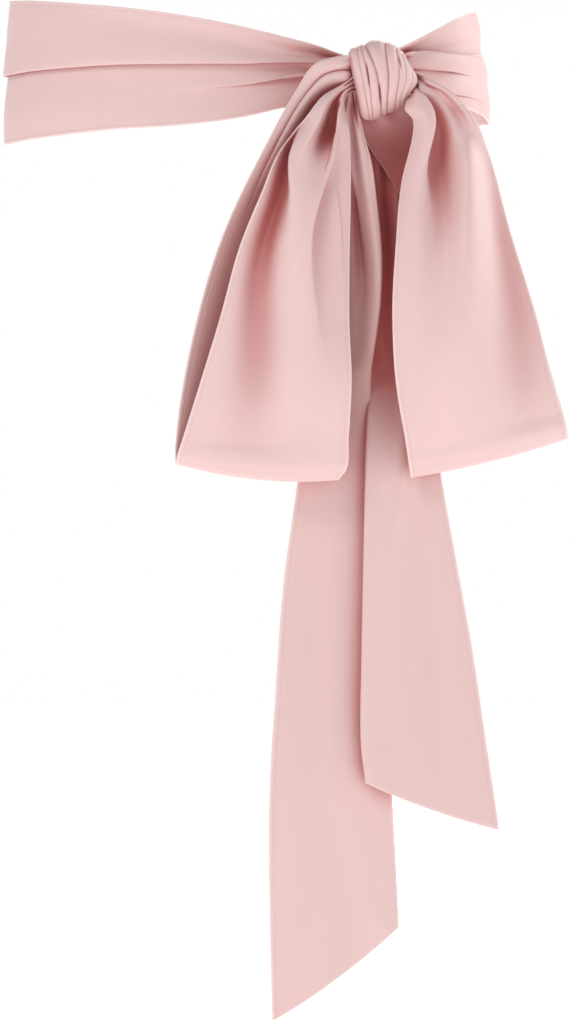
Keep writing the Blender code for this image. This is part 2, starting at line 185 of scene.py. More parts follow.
LEFT_TAIL = [
    (56.0, -88.0, -9.0, 61.5, -93.0, -16.0, 0.0, 0.0),
    (55.0, -88.0, -30.0, 64.2, -98.0, -37.5, 0.0, 0.0),
    (55.5, -87.5, -56.0, 69.0, -102.0, -56.5, 0.0, 0.0),
    (54.5, -86.5, -75.5, 71.5, -103.0, -75.5, 0.0, 0.0),
    (49.5, -85.5, -108.5, 74.5, -103.0, -108.5, 0.0, 0.0),
    (44.0, -84.5, -135.0, 73.5, -102.5, -135.0, 0.0, 0.0),
    (39.5, -84.5, -158.0, 70.3, -99.0, -158.0, 0.0, 0.0),
    (36.8, -84.5, -170.5, 68.5, -95.5, -170.0, 0.0, 0.0),
    (35.2, -85.0, -182.0, 68.6, -89.5, -182.0, 0.0, 0.0),
    (31.5, -85.0, -207.5, 70.0, -85.5, -207.0, 0.0, 0.0),
    (29.0, -85.5, -230.0, 72.0, -84.5, -230.0, 0.0, 0.0),
    (21.5, -86.0, -284.0, 73.0, -84.0, -284.0, 0.5, 0.0),
    (17.0, -86.5, -344.0, 76.0, -84.5, -344.5, 1.0, 0.0),
    (13.5, -86.0, -404.5, 80.0, -85.5, -399.5, 1.5, 0.0),
    (13.5, -85.0, -459.0, 82.5, -86.5, -443.5, 2.0, 0.0),
    (15.0, -84.5, -525.0, 84.0, -87.0, -475.0, 1.5, 3.0),
]
RIGHT_TAIL = [
    (66.6, -87.4, -31.6, 86.0, -87.0, -28.0, 0.0, 0.0),
    (64.5, -87.0, -48.0, 89.5, -88.5, -46.0, 0.0, 0.0),
    (64.5, -86.5, -86.5, 93.5, -89.5, -86.5, 0.0, 0.0),
    (65.0, -86.5, -130.5, 96.0, -90.0, -130.0, 0.0, 0.0),
    (66.0, -87.6, -155.0, 98.0, -90.5, -155.0, 0.0, 0.0),
    (68.8, -88.6, -169.5, 99.0, -91.0, -170.0, 0.0, 0.0),
    (68.7, -91.5, -179.5, 101.0, -91.0, -179.5, 0.0, 0.0),
    (67.4, -93.0, -191.0, 102.5, -91.0, -191.0, 0.0, 0.0),
    (66.5, -93.5, -207.5, 104.5, -91.0, -207.5, 0.0, 0.0),
    (66.0, -93.5, -228.0, 107.5, -91.0, -228.0, 0.5, 0.0),
    (65.0, -94.0, -273.0, 115.5, -91.5, -273.0, 1.0, 0.0),
    (64.0, -94.5, -322.0, 124.5, -91.5, -322.5, 1.5, 0.0),
    (63.5, -95.0, -371.5, 132.0, -92.0, -372.5, 1.5, 0.0),
    (66.0, -95.0, -395.0, 139.5, -93.0, -421.5, 1.0, 2.0),
]

# Soft ridges and hollows, each a list of stations that it runs through.
# Columns: row, place across, spread to the left, spread to the right, rise
# The depth of hollows here and of steps in the laps below is also read by the material, which
# paints deeper rose shade into them
SWELLS = {
    "waist_left": {
        "pleat's roll": [(2.0, 0.76, 0.10, 0.16, 0.0), (3.5, 0.76, 0.08, 0.16, 1.6),
                         (6.0, 0.66, 0.06, 0.16, 1.6), (9.0, 0.56, 0.05, 0.15, 1.4),
                         (12.0, 0.52, 0.05, 0.15, 1.2)],
        "trough above the pleat": [(2.2, 0.86, 0.08, 0.08, -1.4), (3.2, 0.83, 0.09, 0.09, -3.6),
                                   (4.6, 0.84, 0.10, 0.10, -3.0), (6.2, 0.86, 0.11, 0.12, -1.4),
                                   (8.0, 0.86, 0.12, 0.12, 0.0)],
        "roll of the upper hem": [(2.4, 0.98, 0.07, 0.07, 0.0), (4.0, 0.98, 0.07, 0.07, 1.8),
                                  (6.0, 0.99, 0.07, 0.07, 1.0), (8.0, 1.0, 0.08, 0.08, 0.0)],
        "trough under the pleat": [(2.2, 0.54, 0.05, 0.05, -1.0), (3.4, 0.54, 0.06, 0.05, -2.4),
                                   (5.0, 0.46, 0.08, 0.07, -1.4), (7.5, 0.40, 0.12, 0.10, 0.0)],
        "lower trough": [(2.2, 0.24, 0.08, 0.08, -0.8), (3.6, 0.25, 0.09, 0.10, -1.8),
                         (5.5, 0.24, 0.12, 0.12, -1.0), (8.0, 0.22, 0.14, 0.14, 0.0)],
        "upper soft ridge": [(5.0, 0.80, 0.14, 0.12, 0.0), (9.0, 0.82, 0.16, 0.14, 0.9),
                             (12.0, 0.80, 0.16, 0.14, 0.6)],
        "lower soft ridge": [(6.0, 0.18, 0.12, 0.14, 0.0), (9.0, 0.20, 0.14, 0.16, 0.9),
                             (12.0, 0.22, 0.14, 0.16, 0.7)],
    },
    "waist_right": {
        "first trough": [(1.2, 0.88, 0.06, 0.07, -0.6), (2.2, 0.84, 0.06, 0.08, -2.0),
                         (3.6, 0.76, 0.06, 0.09, -2.0), (5.2, 0.72, 0.10, 0.12, 0.0)],
        "upper ridge": [(2.5, 0.93, 0.08, 0.10, 0.0), (4.0, 0.90, 0.10, 0.12, 1.2),
                        (7.0, 0.84, 0.14, 0.14, 0.8)],
        "middle ridge": [(1.5, 0.62, 0.08, 0.07, 0.4), (3.0, 0.54, 0.09, 0.08, 1.6),
                         (5.0, 0.52, 0.08, 0.10, 1.6), (7.0, 0.50, 0.08, 0.12, 1.0)],
        "lower ridge": [(2.0, 0.30, 0.10, 0.10, 0.4), (4.0, 0.28, 0.09, 0.10, 1.6),
                        (7.0, 0.26, 0.10, 0.12, 1.0)],
        "hem's roll": [(3.0, 0.06, 0.04, 0.05, 0.0), (4.5, 0.07, 0.04, 0.05, 1.2),
                       (7.0, 0.08, 0.05, 0.06, 0.8)],
    },
    "waist_back": {
        "pleat's roll": [(0.0, 0.50, 0.05, 0.15, 1.0), (3.0, 0.62, 0.06, 0.14, 1.4),
                         (6.0, 0.58, 0.06, 0.14, 1.4), (9.0, 0.52, 0.05, 0.15, 1.2)],
        "lower ridge": [(0.0, 0.26, 0.10, 0.12, 1.0), (4.0, 0.30, 0.10, 0.12, 1.3),
                        (9.0, 0.22, 0.14, 0.16, 0.7)],
        "trough under the pleat": [(1.0, 0.46, 0.08, 0.06, 0.0), (4.5, 0.46, 0.08, 0.06, -1.3),
                                   (8.0, 0.40, 0.10, 0.08, 0.0)],
        "upper trough": [(1.0, 0.84, 0.10, 0.08, 0.0), (4.5, 0.86, 0.10, 0.08, -1.2),
                         (8.0, 0.84, 0.10, 0.10, 0.0)],
    },
    "left_loop": {
        "hollow by the free edge": [(3.8, 0.00, 0.08, 0.05, 0.0), (4.6, 0.05, 0.08, 0.06, -6.0),
                                    (5.2, 0.12, 0.09, 0.06, -9.5), (5.9, 0.17, 0.11, 0.08, -12.0),
                                    (6.8, 0.20, 0.13, 0.12, -13.0), (7.6, 0.23, 0.14, 0.17, -11.0),
                                    (8.4, 0.28, 0.16, 0.20, -7.5), (9.3, 0.33, 0.20, 0.24, -3.0),
                                    (10.4, 0.36, 0.24, 0.24, 0.0)],
        "ridge beside it": [(4.2, 0.24, 0.10, 0.12, 0.0), (5.6, 0.36, 0.10, 0.12, 2.6),
                            (6.9, 0.49, 0.14, 0.13, 4.0), (8.0, 0.58, 0.16, 0.16, 3.0),
                            (9.8, 0.66, 0.2, 0.2, 0.0)],
        "hollow under the strand": [(1.5, 0.38, 0.10, 0.16, 0.0), (2.4, 0.46, 0.10, 0.18, -6.0),
                                    (3.2, 0.50, 0.10, 0.22, -12.0), (4.0, 0.52, 0.10, 0.22, -14.0),
                                    (4.7, 0.53, 0.11, 0.18, -9.0), (5.5, 0.56, 0.14, 0.14, -2.0),
                                    (6.1, 0.58, 0.14, 0.14, 0.0)],
        "strand": [(1.2, 0.10, 0.10, 0.12, 0.5), (2.6, 0.12, 0.12, 0.12, 2.0),
                   (3.8, 0.20, 0.14, 0.12, 2.4), (5.0, 0.30, 0.12, 0.12, 0.0)],
        "ridge at the turned edge": [(2.0, 0.90, 0.12, 0.10, 0.0), (3.4, 0.80, 0.10, 0.10, 3.0),
                                     (5.0, 0.74, 0.10, 0.10, 3.6), (6.2, 0.66, 0.12, 0.10, 3.0),
                                     (7.4, 0.72, 0.12, 0.14, 2.2), (9.0, 0.82, 0.16, 0.16, 0.0)],
        "shade behind the turned edge": [(4.8, 0.84, 0.05, 0.08, 0.0),
                                         (5.6, 0.76, 0.05, 0.10, -3.0),
                                         (6.4, 0.69, 0.05, 0.13, -5.0),
                                         (7.2, 0.74, 0.06, 0.13, -4.0),
                                         (8.4, 0.84, 0.08, 0.12, 0.0)],
        "soft hollow low down": [(7.0, 0.50, 0.12, 0.12, 0.0), (8.4, 0.42, 0.18, 0.2, -2.6),
                                 (10.6, 0.40, 0.26, 0.26, -1.6), (11.4, 0.40, 0.26, 0.26, 0.0)],
        "right foot": [(8.0, 0.90, 0.14, 0.10, 0.0), (9.4, 0.90, 0.14, 0.10, 1.6),
                       (11.0, 0.88, 0.16, 0.12, 0.0)],
        "outer side": [(12.6, 0.00, 0.20, 0.20, 0.0), (14.4, 0.00, 0.20, 0.22, 6.0),
                       (16.4, 0.05, 0.24, 0.26, 8.0), (18.0, 0.20, 0.40, 0.34, 8.0),
                       (19.4, 0.40, 0.60, 0.50, 7.0), (20.6, 0.50, 0.60, 0.60, 0.0)],
        "back hollow": [(13.0, 0.30, 0.16, 0.16, 0.0), (15.2, 0.34, 0.16, 0.16, -2.6),
                        (16.8, 0.42, 0.16, 0.16, 0.0)],
        "back ridge": [(13.5, 0.70, 0.12, 0.12, 0.0), (15.5, 0.68, 0.12, 0.12, 1.8),
                       (17.6, 0.76, 0.14, 0.14, 0.8), (18.6, 0.80, 0.14, 0.14, 0.0)],
    },
    "right_loop": {
        "flap": [(1.0, 0.20, 0.20, 0.20, 0.4), (2.4, 0.22, 0.22, 0.18, 1.8),
                 (4.0, 0.16, 0.14, 0.12, 2.6), (5.6, 0.16, 0.14, 0.12, 2.4),
                 (7.4, 0.12, 0.12, 0.14, 0.0)],
        "valley by the flap": [(2.4, 0.58, 0.08, 0.10, 0.0), (3.2, 0.57, 0.10, 0.11, -5.0),
                               (4.1, 0.48, 0.13, 0.14, -8.5), (4.9, 0.45, 0.14, 0.15, -10.5),
                               (5.6, 0.43, 0.14, 0.14, -7.5), (6.4, 0.41, 0.15, 0.14, -3.0),
                               (7.4, 0.40, 0.16, 0.14, 0.0)],
        "dimple": [(2.0, 0.76, 0.10, 0.08, 0.0), (3.0, 0.78, 0.12, 0.09, -2.0),
                   (3.6, 0.80, 0.14, 0.10, -4.0), (4.1, 0.81, 0.15, 0.11, -5.2),
                   (4.6, 0.84, 0.15, 0.11, -2.8), (5.1, 0.86, 0.12, 0.11, 0.0)],
        "top strand": [(1.0, 0.96, 0.12, 0.12, 0.0), (2.4, 0.96, 0.10, 0.12, 1.6),
                       (4.0, 0.96, 0.08, 0.12, 1.6), (5.2, 0.96, 0.10, 0.10, 0.0)],
        "long ridge": [(3.8, 0.94, 0.12, 0.12, 0.0), (4.8, 0.80, 0.12, 0.12, 4.4),
                       (6.0, 0.62, 0.14, 0.16, 6.6), (7.1, 0.44, 0.16, 0.18, 5.6),
                       (7.9, 0.32, 0.16, 0.2, 3.6), (9.4, 0.20, 0.16, 0.2, 0.0)],
        "shaded side": [(4.6, 1.00, 0.12, 0.14, 0.0), (6.2, 0.92, 0.16, 0.18, -7.5),
                        (7.6, 0.84, 0.20, 0.22, -6.0), (9.6, 0.80, 0.22, 0.24, 0.0)],
        "back hollow": [(12.4, 0.42, 0.14, 0.14, 0.0), (14.2, 0.44, 0.13, 0.13, -6.0),
                        (15.8, 0.50, 0.12, 0.12, -5.0), (17.2, 0.54, 0.12, 0.12, 0.0)],
        "back ridge": [(12.4, 0.76, 0.12, 0.14, 0.0), (14.6, 0.74, 0.11, 0.12, 5.5),
                       (16.4, 0.78, 0.12, 0.14, 5.0), (18.4, 0.8, 0.12, 0.14, 0.0)],
        # Drawn back under the knot; its depth also paints dark shade here, in the gap between the
        # loops
        "drawn in under the knot": [(14.0, 0.2, 0.8, 0.6, 0.0), (15.4, 0.2, 0.8, 0.6, -8.0),
                                    (16.6, 0.2, 0.8, 0.6, -12.0), (18.0, 0.2, 0.8, 0.6, -8.0),
                                    (19.0, 0.2, 0.8, 0.6, -2.0)],
    },
    "left_tail": {
        "valley": [(1.8, 0.20, 0.10, 0.12, 0.0), (2.6, 0.28, 0.13, 0.14, -3.0),
                   (3.2, 0.40, 0.15, 0.15, -5.5), (3.8, 0.54, 0.17, 0.16, -6.5),
                   (4.4, 0.64, 0.18, 0.15, -5.5), (5.4, 0.70, 0.18, 0.16, -2.5),
                   (6.8, 0.74, 0.2, 0.2, 0.0)],
        "lit ridge": [(0.0, 0.60, 0.30, 0.30, 0.0), (1.0, 0.56, 0.34, 0.30, 4.5),
                      (2.0, 0.60, 0.30, 0.26, 5.0), (3.1, 0.76, 0.20, 0.18, 3.6),
                      (3.7, 0.86, 0.16, 0.14, 3.0), (5.0, 0.94, 0.16, 0.14, 1.5),
                      (7.0, 0.94, 0.16, 0.14, 0.0)],
        "fold at its top": [(0.0, 0.55, 0.10, 0.08, -2.4), (0.6, 0.60, 0.10, 0.08, -1.6),
                            (1.2, 0.70, 0.10, 0.08, 0.0)],
        "curl at its top": [(0.0, 0.88, 0.12, 0.10, 4.0), (0.5, 0.88, 0.12, 0.10, 4.0),
                            (1.0, 0.90, 0.12, 0.10, 1.0), (1.5, 0.94, 0.10, 0.10, 0.0)],
        "low hollow": [(10.0, 0.30, 0.18, 0.18, 0.0), (12.8, 0.40, 0.18, 0.18, -1.6),
                       (14.3, 0.56, 0.18, 0.18, -2.0), (15.0, 0.58, 0.18, 0.18, -1.4)],
        "small crease": [(14.2, 0.80, 0.05, 0.05, 0.0), (14.7, 0.86, 0.05, 0.05, 0.8),
                         (15.0, 0.92, 0.06, 0.06, 0.5)],
    },
    "right_tail": {
        # Drawn back under the knot; its depth also paints dark shade on the tail's top, between the
        # loops
        "drawn in under the knot": [(0.0, 0.5, 0.9, 0.9, -5.0), (0.8, 0.5, 0.9, 0.9, -8.0),
                                    (2.0, 0.5, 0.9, 0.9, -9.0), (5.0, 0.5, 0.9, 0.9, -8.0),
                                    (8.5, 0.5, 0.9, 0.9, -1.0), (10.5, 0.5, 0.9, 0.9, 0.0)],
        "folded ridge": [(4.0, 0.78, 0.16, 0.16, 0.4), (7.5, 0.62, 0.18, 0.12, 1.8),
                         (9.0, 0.47, 0.18, 0.10, 2.6), (10.1, 0.28, 0.16, 0.10, 2.2),
                         (11.0, 0.16, 0.14, 0.12, 1.2), (12.0, 0.10, 0.14, 0.14, 0.0)],
        "soft hollow": [(8.5, 0.66, 0.18, 0.18, 0.0), (11.0, 0.62, 0.2, 0.2, -2.4),
                        (13.0, 0.56, 0.2, 0.2, -1.4)],
        "edge that stands": [(9.5, 0.03, 0.10, 0.10, 0.0), (12.0, 0.05, 0.10, 0.12, 1.2),
                             (13.0, 0.08, 0.10, 0.14, 1.2)],
    },
}

# Strands of gathered cloth that lie side by side as rolls, each a list of stations.
# Columns: row, place across of its two sides, rise
ROLLS = {
    "left_loop": {
        "outer strand": [(16.0, -0.04, 0.10, 0.0), (17.4, -0.06, 0.13, 2.0),
                         (18.4, -0.08, 0.21, 3.0), (19.1, -0.10, 0.31, 3.6),
                         (19.7, -0.10, 0.46, 4.0), (20.1, -0.10, 0.64, 4.0),
                         (21.0, -0.10, 0.80, 2.0)],
        "second strand": [(16.4, 0.10, 0.20, 0.0), (17.4, 0.13, 0.32, 2.6), (17.9, 0.16, 0.40, 3.6),
                          (18.4, 0.21, 0.50, 4.4), (18.8, 0.26, 0.62, 5.0), (19.2, 0.32, 0.78, 5.4),
                          (19.7, 0.46, 0.96, 5.4), (20.1, 0.64, 1.02, 5.0),
                          (21.0, 0.80, 1.10, 2.0)],
    },
}

# Laps, where the cloth turns under itself at a crisp edge, each a list of stations.
# Columns: row, place across, half width of the turn, reach, slide of each side over the other,
# step between the sides (above 0 where the left or lower side lies in front)
LAPS = {
    "waist_left": {
        "pleat": [(2.2, 0.70, 0.03, 0.20, 0.0, 0.0), (3.4, 0.70, 0.03, 0.22, 3.4, -1.1),
                  (6.0, 0.59, 0.03, 0.22, 5.0, -1.1), (9.0, 0.52, 0.024, 0.20, 5.0, -1.1),
                  (12.0, 0.49, 0.022, 0.20, 4.6, -1.1)],
        "lower pleat": [(2.0, 0.46, 0.03, 0.16, 0.0, 0.0), (3.2, 0.44, 0.03, 0.16, 2.8, -1.0),
                        (4.6, 0.36, 0.03, 0.16, 2.6, -0.9), (6.4, 0.28, 0.03, 0.14, 0.0, 0.0)],
    },
    "waist_right": {
        "first pleat": [(0.8, 0.84, 0.03, 0.14, 0.0, 0.0), (2.0, 0.77, 0.03, 0.16, 3.4, 1.1),
                        (3.4, 0.63, 0.028, 0.16, 4.6, 1.1), (5.4, 0.62, 0.03, 0.16, 1.0, 0.6),
                        (7.0, 0.70, 0.03, 0.16, 0.0, 0.0)],
        "second pleat": [(1.0, 0.60, 0.03, 0.14, 0.0, 0.0), (2.4, 0.50, 0.028, 0.16, 3.4, -1.1),
                         (4.0, 0.41, 0.026, 0.18, 5.2, -1.1), (7.0, 0.43, 0.024, 0.18, 5.8, -1.1)],
        "third pleat": [(1.2, 0.20, 0.03, 0.12, 0.0, 0.0), (3.0, 0.17, 0.026, 0.13, 3.4, -1.1),
                        (7.0, 0.14, 0.024, 0.13, 4.2, -1.1)],
    },
    "waist_back": {
        "pleat": [(0.0, 0.43, 0.024, 0.18, 5.8, -1.1), (3.0, 0.50, 0.03, 0.20, 5.2, -1.1),
                  (6.0, 0.50, 0.026, 0.20, 5.2, -1.1), (9.0, 0.49, 0.022, 0.20, 4.6, -1.1)],
        "lower pleat": [(0.0, 0.14, 0.024, 0.13, 4.2, -1.1), (2.5, 0.20, 0.03, 0.15, 4.4, -1.1),
                        (5.5, 0.20, 0.03, 0.14, 4.2, -1.1), (8.0, 0.16, 0.03, 0.12, 0.0, 0.0)],
        "upper pleat": [(0.0, 0.80, 0.03, 0.14, 0.0, 0.0), (2.0, 0.80, 0.03, 0.14, 4.2, 1.1),
                        (5.5, 0.82, 0.03, 0.13, 4.2, 1.1), (8.0, 0.82, 0.03, 0.12, 0.0, 0.0)],
    },
    "left_loop": {
        "panel over the hollow": [(4.3, 0.05, 0.04, 0.12, 0.0, 0.0),
                                  (5.2, 0.18, 0.04, 0.14, 2.6, -1.8),
                                  (5.8, 0.27, 0.045, 0.14, 2.6, -1.8),
                                  (6.3, 0.32, 0.05, 0.14, 1.6, -1.0),
                                  (7.0, 0.36, 0.06, 0.14, 0.0, 0.0)],
        "strand over its hollow": [(1.4, 0.22, 0.05, 0.16, 0.0, 0.0),
                                   (2.6, 0.22, 0.05, 0.18, 1.8, 1.2),
                                   (3.6, 0.24, 0.045, 0.18, 3.2, 1.8),
                                   (4.4, 0.31, 0.045, 0.18, 2.4, 1.4),
                                   (5.2, 0.36, 0.05, 0.18, 0.0, 0.0)],
        "turned edge": [(2.4, 0.80, 0.04, 0.14, 0.0, 0.0), (3.2, 0.76, 0.04, 0.14, 1.6, 1.2),
                        (4.2, 0.75, 0.04, 0.16, 3.0, 1.6), (5.0, 0.74, 0.04, 0.18, 4.0, 2.0),
                        (5.6, 0.68, 0.04, 0.20, 5.2, 2.2), (6.2, 0.62, 0.04, 0.22, 5.6, 2.2),
                        (6.7, 0.61, 0.04, 0.22, 5.2, 2.2), (7.3, 0.66, 0.04, 0.20, 4.0, 1.8),
                        (8.0, 0.76, 0.04, 0.16, 2.2, 1.0), (8.8, 0.84, 0.04, 0.16, 0.0, 0.0)],
        "free edge over the strip behind": [(4.8, 0.86, 0.02, 0.08, 0.0, 0.0),
                                            (5.4, 0.84, 0.02, 0.08, 1.2, 1.0),
                                            (6.6, 0.92, 0.02, 0.06, 1.2, 1.0),
                                            (7.6, 0.97, 0.02, 0.05, 0.0, 0.0)],
    },
    "right_loop": {
        "flap's turned edge": [(1.2, 0.46, 0.06, 0.2, 0.0, 0.0), (2.2, 0.46, 0.055, 0.2, 2.0, 1.2),
                               (3.1, 0.45, 0.045, 0.2, 3.6, 2.0), (3.8, 0.36, 0.04, 0.2, 4.2, 2.2),
                               (4.6, 0.27, 0.035, 0.2, 3.6, 2.0), (5.6, 0.34, 0.04, 0.2, 0.0, 0.0)],
        "top strand's edge": [(1.2, 0.80, 0.05, 0.14, 0.0, 0.0),
                              (2.0, 0.84, 0.045, 0.14, 1.2, -1.0),
                              (2.8, 0.88, 0.05, 0.12, 0.8, -0.6),
                              (3.6, 0.92, 0.06, 0.12, 0.0, 0.0)],
    },
    "left_tail": {
        "turned edge": [(0.0, 0.80, 0.04, 0.12, 0.6, 0.6), (1.0, 0.82, 0.04, 0.12, 0.8, 0.6),
                        (2.2, 0.90, 0.04, 0.12, 0.0, 0.0)],
    },
}

# Small even gathers where the cloth is drawn into the knot.
# Number of gathers across the cloth, then stations of row and height
GATHERS = {
    "waist_left": (5, [(0.0, 1.9), (2.0, 1.7), (3.4, 0.5), (4.6, 0.0), (12.0, 0.0)]),
    "waist_right": (5, [(0.0, 1.9), (1.2, 1.8), (2.4, 0.8), (3.6, 0.0), (7.0, 0.0)]),
    "left_loop": (3, [(0.0, 3.0), (1.2, 1.6), (2.2, 0.3), (3.0, 0.0), (19.6, 0.0), (20.4, 0.8),
                      (21.0, 3.0)]),
    "right_loop": (3, [(0.0, 3.0), (1.2, 1.8), (2.2, 0.5), (3.2, 0.0), (17.6, 0.0), (18.4, 0.6),
                       (19.0, 1.6)]),
    "right_tail": (3, [(0.0, 0.8), (1.5, 1.2), (4.0, 0.4), (6.5, 0.0), (13.0, 0.0)]),
}

# Creases between the turns of cloth wound round the knot; the last row is its right lip.
# Columns: place on the knot's row numbers at the top, middle and bottom; depth of the roll of
# cloth from this crease to the next
# The depth of the creases and of the slits below is read by the material too, which paints deeper
# rose shade into them
KNOT_CREASES = [
    (0.00, 0.00, 0.00, 1.6),
    (1.56, 1.50, 1.78, 1.4),
    (1.78, 1.92, 1.95, 2.4),
    (2.05, 2.52, 2.76, 3.4),
    (3.46, 3.23, 3.17, 2.6),
    (4.26, 3.90, 3.86, 2.2),
    (4.74, 4.46, 4.46, 1.8),
    (5.22, 5.16, 4.98, 1.6),
    (6.00, 6.00, 6.00, 0.0),
]
# Slits where two turns part.
# Columns: place at the top, middle and bottom; lowest and highest reach, where 1 is the top
# and -1 the bottom of the section; half width in rows; depth
KNOT_SLITS = [
    (1.98, 1.93, 1.84, -0.14, 0.44, 0.08, 2.4),
    (2.30, 2.56, 2.72, -0.72, -0.10, 0.08, 2.6),
    (4.25, 4.08, 3.90, 0.10, 0.60, 0.08, 2.8),
    (4.05, 4.18, 4.16, -0.95, 0.20, 0.10, 0.6),
    (0.60, 0.80, 1.10, -1.20, 0.30, 0.30, 0.4),
    (2.90, 2.86, 2.96, 0.00, 1.20, 0.22, 0.4),
    (5.50, 5.60, 5.40, -0.80, 0.60, 0.14, 0.5),
]

# Cloth turned under behind a tail's fold, which is its right edge for the left tail and its left
# edge for the right tail. Columns: row, width turned under
TURNED_UNDER = {
    "left_tail": [(0.0, 4.0), (1.0, 6.0), (2.0, 11.5), (4.0, 21.0), (6.0, 27.0), (8.0, 29.0),
                  (10.0, 36.0), (11.0, 38.0), (12.0, 37.0), (13.0, 33.0), (14.0, 30.0),
                  (15.0, 30.0)],
    "right_tail": [(0.0, 15.0), (2.0, 25.0), (5.0, 27.0), (8.0, 33.0), (10.0, 37.0),
                   (11.0, 36.0), (12.0, 31.0), (13.0, 27.0)],
}
FOLD_RADIUS = 1.1

# Cloth: its own colour; shaded rose and deep rose, which are painted shade where it is closed in
# and in its folds; a pale pink, which is a painted highlight on its rolled edge; then the seam's
# distance from the edge and its width in millimetres, the count of threads, and the metres over
# which the two closed in measures of painted shade look round a point
BLUSH = (0.765, 0.532, 0.516)
SHADED_ROSE = (0.700, 0.390, 0.370)
PAINTED_SHADE_ROSE = (0.490, 0.138, 0.130)
PAINTED_EDGE_HIGHLIGHT = (0.860, 0.650, 0.620)
SEAM_FROM_EDGE = 2.4
SEAM_WIDTH = 0.35
THREADS_PER_METRE = 2400.0
NEAR_REACH = 0.014
FAR_REACH = 0.07

# Heights in metres that the weave, the slubs and the seam show in the bump
WEAVE_HEIGHT = 0.00002
SLUB_HEIGHT = 0.00006
SEAM_DEPTH = 0.00016

# Repeats in each metre along and across the cloth for its clouding and its slubs
CLOUD_REPEATS = (14.0, 60.0, 1.0)
SLUB_REPEATS = (60.0, 1400.0, 1.0)

# Studio, in metres: floor, lamps, what they face, and the camera
FLOOR_HALF_SIZE = 6.0
FLOOR_LEVEL = -0.56
FLOOR_GLOW = 0.7
# Columns: name, place, size, watts
LAMPS = [
    ("key", (-1.0, -2.2, 2.0), 0.9, 26.0),
    ("side", (2.3, 0.9, 0.9), 1.0, 32.0),
    ("back", (0.3, 2.4, 1.3), 1.2, 30.0),
]
LAMPS_FACE = (0.04, -0.08, -0.16)
CAMERA_PLACE = (0.02146, -3.2, -0.2459)
CAMERA_SENSOR = 36.0
CAMERA_LENS = 199.8
CAMERA_SIGHT = 30.0


def through_rows(table, spans, places):
    """Smooth curve through a table's rows, read at row numbers that may be fractions.

    Each row's slope is that of a parabola through it and its neighbours, over the
    distances in spans, and a cubic joins each pair of rows.
    """
    table = np.asarray(table, float)
    spans = np.asarray(spans, float)[:, None]
    step = np.diff(table, axis=0) / spans
    inner = (step[:-1] * spans[1:] + step[1:] * spans[:-1]) / (spans[1:] + spans[:-1])
    slope = np.vstack([step[:1], inner, step[-1:]])
    first = np.clip(places.astype(int), 0, len(table) - 2)
    t = (places - first)[:, None]
    span = spans[first]
    return (
        (2 * t**3 - 3 * t**2 + 1) * table[first]
        + (t**3 - 2 * t**2 + t) * span * slope[first]
        + (3 * t**2 - 2 * t**3) * table[first + 1]
        + (t**3 - t**2) * span * slope[first + 1]
    )


def along_stations(stations, places):
    """The columns of a fold's stations, run smoothly from station to station along the rows."""
    stations = np.asarray(stations, float)
    rows = stations[:, 0]
    at = np.interp(places, rows, np.arange(len(rows)))
    return through_rows(stations[:, 1:], np.diff(rows), at).T


def swell_field(name, across, places):
    """Gathers as a cosine across the cloth, a sum of bells for its swells, and its rolls.

    A bell is its rise times e to the minus square of offset over spread. A roll is half
    an oval: the square root of 1 less a power of the share across it.
    """
    rise = np.zeros(across.shape)
    if name in GATHERS:
        count, heights = GATHERS[name]
        tall = np.maximum(along_stations(heights, places), 0)
        rise += tall * np.cos(2 * math.pi * count * across)
    for stations in SWELLS[name].values():
        place, left, right, height = along_stations(stations, places)
        offset = across - place
        spread = np.where(offset < 0, left, right)
        rise += height * np.exp(-((offset / spread) ** 2))
    for stations in ROLLS.get(name, {}).values():
        start, end, height = along_stations(stations, places)
        share = (across - start) / (end - start)
        rise += height * np.sqrt(np.clip(1 - np.abs(2 * share - 1) ** ROLL_SQUARENESS, 0, 1))
    return rise


def lap_fields(name, across, places):
    """Slide along the cloth and step out of it for laps.

    Each is the hyperbolic tangent of offset over turn, times a bell as wide as the
    reach, so the two sides pass over each other and the cloth between them turns back.
    """
    slide = np.zeros(across.shape)
    step = np.zeros(across.shape)
    for stations in LAPS.get(name, {}).values():
        place, turn, reach, along, out = along_stations(stations, places)
        offset = across - place
        tuck = np.tanh(offset / turn) * np.exp(-((offset / reach) ** 2))
        slide -= along * tuck
        step -= out * tuck
    return slide, step


def waist_cloth(name, table, across, places):
    """Band round the waist.

    Each section stands on the waist's ellipse; swells and steps push it outwards and
    slides move it up or down.
    """
    angles = np.array([row[0] for row in table])
    rows = through_rows(table, np.abs(np.diff(angles)), places)
    angle = np.radians(rows[:, 0])[None, :]
    low, high = rows[None, :, 3], rows[None, :, 4]
    across = across[:, None] * np.ones((1, len(places)))
    lift = rows[None, :, 1] + (rows[:, 2] - rows[:, 1])[None, :] * across
    rise = swell_field(name, across, places)
    slide, step = lap_fields(name, across, places)
    out = lift + rise + step
    x = (WAIST_HALF_WIDTH + out) * np.sin(angle)
    y = -(WAIST_HALF_DEPTH + out) * np.cos(angle)
    z = low + (high - low) * across + slide
    raised = np.stack([np.sin(angle), -np.cos(angle), 0 * angle], axis=-1)
    return np.stack([x, y, z], axis=-1), rise + step, raised * np.ones_like(across)[..., None]


